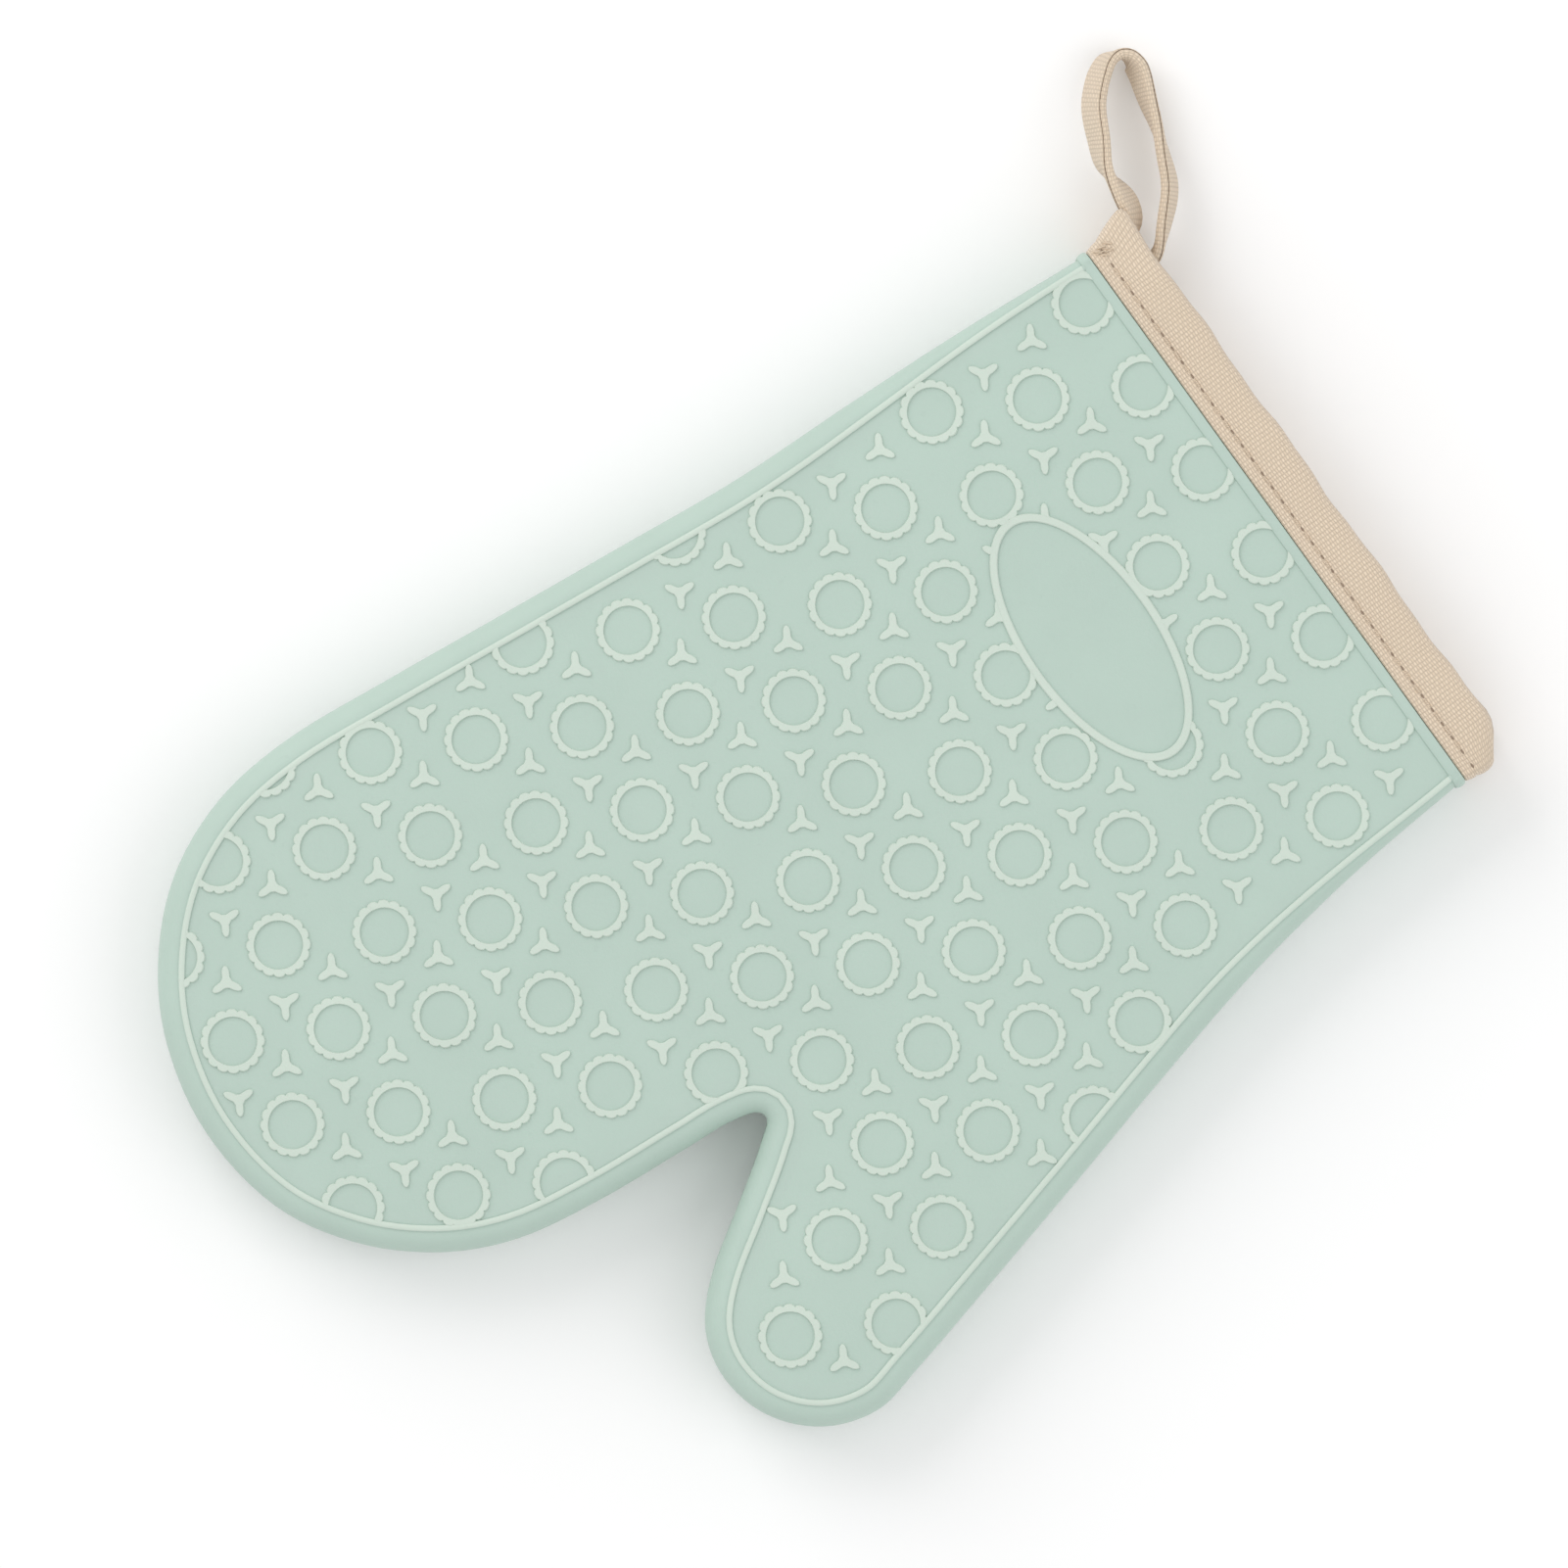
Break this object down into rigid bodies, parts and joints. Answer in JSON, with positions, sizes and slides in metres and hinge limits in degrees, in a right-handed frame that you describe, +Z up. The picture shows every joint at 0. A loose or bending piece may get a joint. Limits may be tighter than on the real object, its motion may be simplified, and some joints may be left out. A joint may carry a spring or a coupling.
{
  "type": "oven mitt",
  "caption": "Silicone oven mitt lying flat, with raised ring-and-star grip pattern, quilted lining bag, canvas-bound cuff and a swinging hanging loop.",
  "frame": {"origin": "middle of the bounding box at its bottom, on the surface that the mitt lies on", "axes": "+X from the cuff to the fingertips, +Y to the thumb, +Z up through the mitt's thickness"},
  "size_m": [0.31, 0.2168, 0.024],
  "materials": {
    "silicone": "satin moulded silicone",
    "lining_cloth": "plain cotton",
    "wadding": "soft fibre",
    "lining_thread": "cotton thread",
    "canvas": "plain-weave canvas",
    "canvas_thread": "cotton thread"
  },
  "bodies": {
    "mitt": {"silicone_shell": "silicone", "front_lining_backing": "lining_cloth", "front_lining_wadding": "wadding", "front_lining_facing": "lining_cloth", "back_lining_backing": "lining_cloth", "back_lining_wadding": "wadding", "back_lining_facing": "lining_cloth", "lining_seam_thread": "lining_thread", "front_quilting_thread": "lining_thread", "back_quilting_thread": "lining_thread", "cuff_binding": "canvas", "binding_stitching": "canvas_thread", "loop_bartack": "canvas_thread"},
    "loop": {"hanging_loop": "canvas", "loop_stitching": "canvas_thread"}
  },
  "joints": [
    {"name": "loop_swing", "type": "hinge", "parent": "mitt", "child": "loop", "pos_m": [-0.13168, -0.07004, 0.012], "axis": [0, 1, 0], "range_deg": [-38, 82]}
  ]
}
